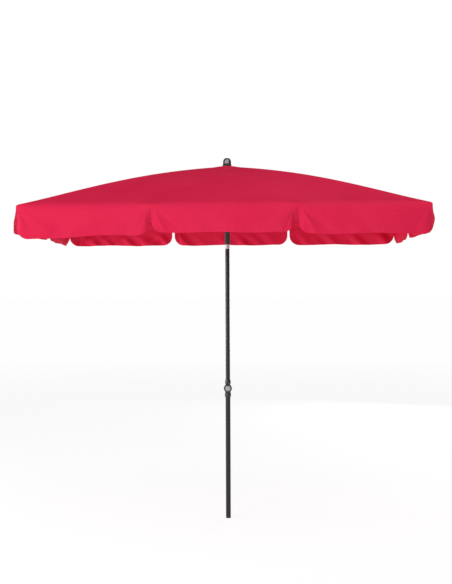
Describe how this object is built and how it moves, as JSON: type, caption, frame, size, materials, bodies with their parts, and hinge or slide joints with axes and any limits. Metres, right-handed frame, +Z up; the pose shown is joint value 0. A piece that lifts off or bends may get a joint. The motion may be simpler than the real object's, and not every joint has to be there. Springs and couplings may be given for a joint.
{
  "type": "patio umbrella",
  "caption": "Rectangular tilting patio umbrella with a red cloth canopy and straight valance flaps on a dark steel mast with a push-button tilt joint, without a base.",
  "frame": {"origin": "centre of the mast's bottom end, on the mast's axis", "axes": "+Z up along the mast, +X along the canopy's long side, -Y towards its front, where the tilt button is"},
  "size_m": [2.1, 1.4, 2.063],
  "materials": {
    "cloth": "plain woven polyester",
    "mast_paint": "satin powder coat",
    "rib_paint": "satin powder coat",
    "joint_plastic": "semi gloss",
    "dark_plastic": "fine grain",
    "finial_plastic": "gloss",
    "button_metal": "satin",
    "pin_steel": "zinc plated",
    "plated_steel": "nickel plated"
  },
  "bodies": {
    "lower_mast": {"lower_tube": "mast_paint", "foot_plug": "dark_plastic", "lower_knuckle": "joint_plastic", "tilt_axle": "pin_steel", "axle_cap": "joint_plastic", "lock_spring": "pin_steel"},
    "tilt_lock": {"tilt_button": "button_metal", "lock_hub": "dark_plastic"},
    "upper_mast": {"upper_tube": "mast_paint", "upper_knuckle": "joint_plastic", "crown_hub": "dark_plastic", "crown_pins": "pin_steel", "cloth_washer": "dark_plastic", "finial": "finial_plastic", "finial_disc": "button_metal", "finial_stud": "pin_steel", "catch_band": "plated_steel", "catch_spring": "pin_steel"},
    "catch": {"catch_nose": "plated_steel"},
    "runner": {"runner": "dark_plastic"},
    "rib_00": {"rib_00": "rib_paint", "canopy_00": "cloth"},
    "strut_00": {"strut_00": "rib_paint"},
    "flap_00": {"valance_00": "cloth"},
    "rib_01": {"rib_01": "rib_paint", "canopy_01": "cloth"},
    "strut_01": {"strut_01": "rib_paint"},
    "flap_01": {"valance_01": "cloth"},
    "rib_02": {"rib_02": "rib_paint", "canopy_02": "cloth"},
    "strut_02": {"strut_02": "rib_paint"},
    "flap_02": {"valance_02": "cloth"},
    "rib_03": {"rib_03": "rib_paint", "canopy_03": "cloth"},
    "strut_03": {"strut_03": "rib_paint"},
    "flap_03": {"valance_03": "cloth"},
    "rib_04": {"rib_04": "rib_paint", "canopy_04": "cloth"},
    "strut_04": {"strut_04": "rib_paint"},
    "flap_04": {"valance_04": "cloth"},
    "rib_05": {"rib_05": "rib_paint", "canopy_05": "cloth"},
    "strut_05": {"strut_05": "rib_paint"},
    "flap_05": {"valance_05": "cloth"},
    "rib_06": {"rib_06": "rib_paint", "canopy_06": "cloth"},
    "strut_06": {"strut_06": "rib_paint"},
    "flap_06": {"valance_06": "cloth"},
    "rib_07": {"rib_07": "rib_paint", "canopy_07": "cloth"},
    "strut_07": {"strut_07": "rib_paint"},
    "flap_07": {"valance_07": "cloth"},
    "rib_08": {"rib_08": "rib_paint", "canopy_08": "cloth"},
    "strut_08": {"strut_08": "rib_paint"},
    "flap_08": {"valance_08": "cloth"},
    "rib_09": {"rib_09": "rib_paint", "canopy_09": "cloth"},
    "strut_09": {"strut_09": "rib_paint"},
    "flap_09": {"valance_09": "cloth"}
  },
  "joints": [
    {"name": "tilt", "type": "hinge", "parent": "lower_mast", "child": "upper_mast", "pos_m": [0, 0, 0.743], "axis": [0, 1, 0], "range_deg": [-40, 0]},
    {"name": "tilt_button", "type": "slide", "parent": "lower_mast", "child": "tilt_lock", "axis": [0, 1, 0], "range_m": [0, 0.0035], "stiffness_N_per_m": 1200, "springref_m": -0.002},
    {"name": "catch_press", "type": "slide", "parent": "upper_mast", "child": "catch", "axis": [0, 1, 0], "range_m": [0, 0.0045], "stiffness_N_per_m": 900, "springref_m": -0.002},
    {"name": "runner_slide", "type": "slide", "parent": "upper_mast", "child": "runner", "axis": [0, 0, -1], "range_m": [0, 0.74]},
    {"name": "rib_00_fold", "type": "hinge", "parent": "upper_mast", "child": "rib_00", "pos_m": [0.028, 0, 1.995], "axis": [0, 1, 0], "range_deg": [0, 72.4], "deforming": ["canopy_00"]},
    {"name": "strut_00_fold", "type": "hinge", "parent": "rib_00", "child": "strut_00", "pos_m": [0.52567, 0, 1.88491], "axis": [0, 1, 0], "range_deg": [-136.44, 0]},
    {"name": "flap_00_hang", "type": "hinge", "parent": "rib_00", "child": "flap_00", "pos_m": [1.05, 0, 1.739], "axis": [0, 1, 0], "range_deg": [-72.4, 0], "deforming": ["valance_00"]},
    {"name": "rib_01_fold", "type": "hinge", "parent": "upper_mast", "child": "rib_01", "pos_m": [0.0233, 0.01553, 1.995], "axis": [-0.5547, 0.8321, 0], "range_deg": [0, 75.33], "deforming": ["canopy_01"]},
    {"name": "strut_01_fold", "type": "hinge", "parent": "rib_01", "child": "strut_01", "pos_m": [0.4352, 0.29014, 1.90949], "axis": [-0.5547, 0.8321, 0], "range_deg": [-137.21, 0]},
    {"name": "flap_01_hang", "type": "hinge", "parent": "rib_01", "child": "flap_01", "pos_m": [1.05, 0.7, 1.739], "axis": [-0.5547, 0.8321, 0], "range_deg": [-75.33, 0], "deforming": ["valance_01"]},
    {"name": "rib_02_fold", "type": "hinge", "parent": "upper_mast", "child": "rib_02", "pos_m": [0.01308, 0.02475, 1.995], "axis": [-0.8841, 0.4673, 0], "range_deg": [0, 66.83], "deforming": ["canopy_02"]},
    {"name": "strut_02_fold", "type": "hinge", "parent": "rib_02", "child": "strut_02", "pos_m": [0.24626, 0.46589, 1.83144], "axis": [-0.8841, 0.4673, 0], "range_deg": [-136.25, 0]},
    {"name": "flap_02_hang", "type": "hinge", "parent": "rib_02", "child": "flap_02", "pos_m": [0.37, 0.7, 1.739], "axis": [-0.8841, 0.4673, 0], "range_deg": [-66.83, 0], "deforming": ["valance_02"]},
    {"name": "rib_03_fold", "type": "hinge", "parent": "upper_mast", "child": "rib_03", "pos_m": [-0.01308, 0.02475, 1.995], "axis": [-0.8841, -0.4673, 0], "range_deg": [0, 66.83], "deforming": ["canopy_03"]},
    {"name": "strut_03_fold", "type": "hinge", "parent": "rib_03", "child": "strut_03", "pos_m": [-0.24626, 0.46589, 1.83144], "axis": [-0.8841, -0.4673, 0], "range_deg": [-136.25, 0]},
    {"name": "flap_03_hang", "type": "hinge", "parent": "rib_03", "child": "flap_03", "pos_m": [-0.37, 0.7, 1.739], "axis": [-0.8841, -0.4673, 0], "range_deg": [-66.83, 0], "deforming": ["valance_03"]},
    {"name": "rib_04_fold", "type": "hinge", "parent": "upper_mast", "child": "rib_04", "pos_m": [-0.0233, 0.01553, 1.995], "axis": [-0.5547, -0.8321, 0], "range_deg": [0, 75.33], "deforming": ["canopy_04"]},
    {"name": "strut_04_fold", "type": "hinge", "parent": "rib_04", "child": "strut_04", "pos_m": [-0.4352, 0.29014, 1.90949], "axis": [-0.5547, -0.8321, 0], "range_deg": [-137.21, 0]},
    {"name": "flap_04_hang", "type": "hinge", "parent": "rib_04", "child": "flap_04", "pos_m": [-1.05, 0.7, 1.739], "axis": [-0.5547, -0.8321, 0], "range_deg": [-75.33, 0], "deforming": ["valance_04"]},
    {"name": "rib_05_fold", "type": "hinge", "parent": "upper_mast", "child": "rib_05", "pos_m": [-0.028, 0, 1.995], "axis": [0, -1, 0], "range_deg": [0, 72.4], "deforming": ["canopy_05"]},
    {"name": "strut_05_fold", "type": "hinge", "parent": "rib_05", "child": "strut_05", "pos_m": [-0.52567, 0, 1.88491], "axis": [0, -1, 0], "range_deg": [-136.44, 0]},
    {"name": "flap_05_hang", "type": "hinge", "parent": "rib_05", "child": "flap_05", "pos_m": [-1.05, 0, 1.739], "axis": [0, -1, 0], "range_deg": [-72.4, 0], "deforming": ["valance_05"]},
    {"name": "rib_06_fold", "type": "hinge", "parent": "upper_mast", "child": "rib_06", "pos_m": [-0.0233, -0.01553, 1.995], "axis": [0.5547, -0.8321, 0], "range_deg": [0, 75.33], "deforming": ["canopy_06"]},
    {"name": "strut_06_fold", "type": "hinge", "parent": "rib_06", "child": "strut_06", "pos_m": [-0.4352, -0.29014, 1.90949], "axis": [0.5547, -0.8321, 0], "range_deg": [-137.21, 0]},
    {"name": "flap_06_hang", "type": "hinge", "parent": "rib_06", "child": "flap_06", "pos_m": [-1.05, -0.7, 1.739], "axis": [0.5547, -0.8321, 0], "range_deg": [-75.33, 0], "deforming": ["valance_06"]},
    {"name": "rib_07_fold", "type": "hinge", "parent": "upper_mast", "child": "rib_07", "pos_m": [-0.01308, -0.02475, 1.995], "axis": [0.8841, -0.4673, 0], "range_deg": [0, 66.83], "deforming": ["canopy_07"]},
    {"name": "strut_07_fold", "type": "hinge", "parent": "rib_07", "child": "strut_07", "pos_m": [-0.24626, -0.46589, 1.83144], "axis": [0.8841, -0.4673, 0], "range_deg": [-136.25, 0]},
    {"name": "flap_07_hang", "type": "hinge", "parent": "rib_07", "child": "flap_07", "pos_m": [-0.37, -0.7, 1.739], "axis": [0.8841, -0.4673, 0], "range_deg": [-66.83, 0], "deforming": ["valance_07"]},
    {"name": "rib_08_fold", "type": "hinge", "parent": "upper_mast", "child": "rib_08", "pos_m": [0.01308, -0.02475, 1.995], "axis": [0.8841, 0.4673, 0], "range_deg": [0, 66.83], "deforming": ["canopy_08"]},
    {"name": "strut_08_fold", "type": "hinge", "parent": "rib_08", "child": "strut_08", "pos_m": [0.24626, -0.46589, 1.83144], "axis": [0.8841, 0.4673, 0], "range_deg": [-136.25, 0]},
    {"name": "flap_08_hang", "type": "hinge", "parent": "rib_08", "child": "flap_08", "pos_m": [0.37, -0.7, 1.739], "axis": [0.8841, 0.4673, 0], "range_deg": [-66.83, 0], "deforming": ["valance_08"]},
    {"name": "rib_09_fold", "type": "hinge", "parent": "upper_mast", "child": "rib_09", "pos_m": [0.0233, -0.01553, 1.995], "axis": [0.5547, 0.8321, 0], "range_deg": [0, 75.33], "deforming": ["canopy_09"]},
    {"name": "strut_09_fold", "type": "hinge", "parent": "rib_09", "child": "strut_09", "pos_m": [0.4352, -0.29014, 1.90949], "axis": [0.5547, 0.8321, 0], "range_deg": [-137.21, 0]},
    {"name": "flap_09_hang", "type": "hinge", "parent": "rib_09", "child": "flap_09", "pos_m": [1.05, -0.7, 1.739], "axis": [0.5547, 0.8321, 0], "range_deg": [-75.33, 0], "deforming": ["valance_09"]}
  ],
  "couplings": [
    {"joint": "rib_00_fold", "follows": "runner_slide", "rad_per_m": 1.7064},
    {"joint": "strut_00_fold", "follows": "runner_slide", "rad_per_m": -3.2168},
    {"joint": "flap_00_hang", "follows": "runner_slide", "rad_per_m": -1.7064},
    {"joint": "rib_01_fold", "follows": "runner_slide", "rad_per_m": 1.7755},
    {"joint": "strut_01_fold", "follows": "runner_slide", "rad_per_m": -3.2349},
    {"joint": "flap_01_hang", "follows": "runner_slide", "rad_per_m": -1.7755},
    {"joint": "rib_02_fold", "follows": "runner_slide", "rad_per_m": 1.5751},
    {"joint": "strut_02_fold", "follows": "runner_slide", "rad_per_m": -3.2124},
    {"joint": "flap_02_hang", "follows": "runner_slide", "rad_per_m": -1.5751},
    {"joint": "rib_03_fold", "follows": "runner_slide", "rad_per_m": 1.5751},
    {"joint": "strut_03_fold", "follows": "runner_slide", "rad_per_m": -3.2124},
    {"joint": "flap_03_hang", "follows": "runner_slide", "rad_per_m": -1.5751},
    {"joint": "rib_04_fold", "follows": "runner_slide", "rad_per_m": 1.7755},
    {"joint": "strut_04_fold", "follows": "runner_slide", "rad_per_m": -3.2349},
    {"joint": "flap_04_hang", "follows": "runner_slide", "rad_per_m": -1.7755},
    {"joint": "rib_05_fold", "follows": "runner_slide", "rad_per_m": 1.7064},
    {"joint": "strut_05_fold", "follows": "runner_slide", "rad_per_m": -3.2168},
    {"joint": "flap_05_hang", "follows": "runner_slide", "rad_per_m": -1.7064},
    {"joint": "rib_06_fold", "follows": "runner_slide", "rad_per_m": 1.7755},
    {"joint": "strut_06_fold", "follows": "runner_slide", "rad_per_m": -3.2349},
    {"joint": "flap_06_hang", "follows": "runner_slide", "rad_per_m": -1.7755},
    {"joint": "rib_07_fold", "follows": "runner_slide", "rad_per_m": 1.5751},
    {"joint": "strut_07_fold", "follows": "runner_slide", "rad_per_m": -3.2124},
    {"joint": "flap_07_hang", "follows": "runner_slide", "rad_per_m": -1.5751},
    {"joint": "rib_08_fold", "follows": "runner_slide", "rad_per_m": 1.5751},
    {"joint": "strut_08_fold", "follows": "runner_slide", "rad_per_m": -3.2124},
    {"joint": "flap_08_hang", "follows": "runner_slide", "rad_per_m": -1.5751},
    {"joint": "rib_09_fold", "follows": "runner_slide", "rad_per_m": 1.7755},
    {"joint": "strut_09_fold", "follows": "runner_slide", "rad_per_m": -3.2349},
    {"joint": "flap_09_hang", "follows": "runner_slide", "rad_per_m": -1.7755}
  ]
}
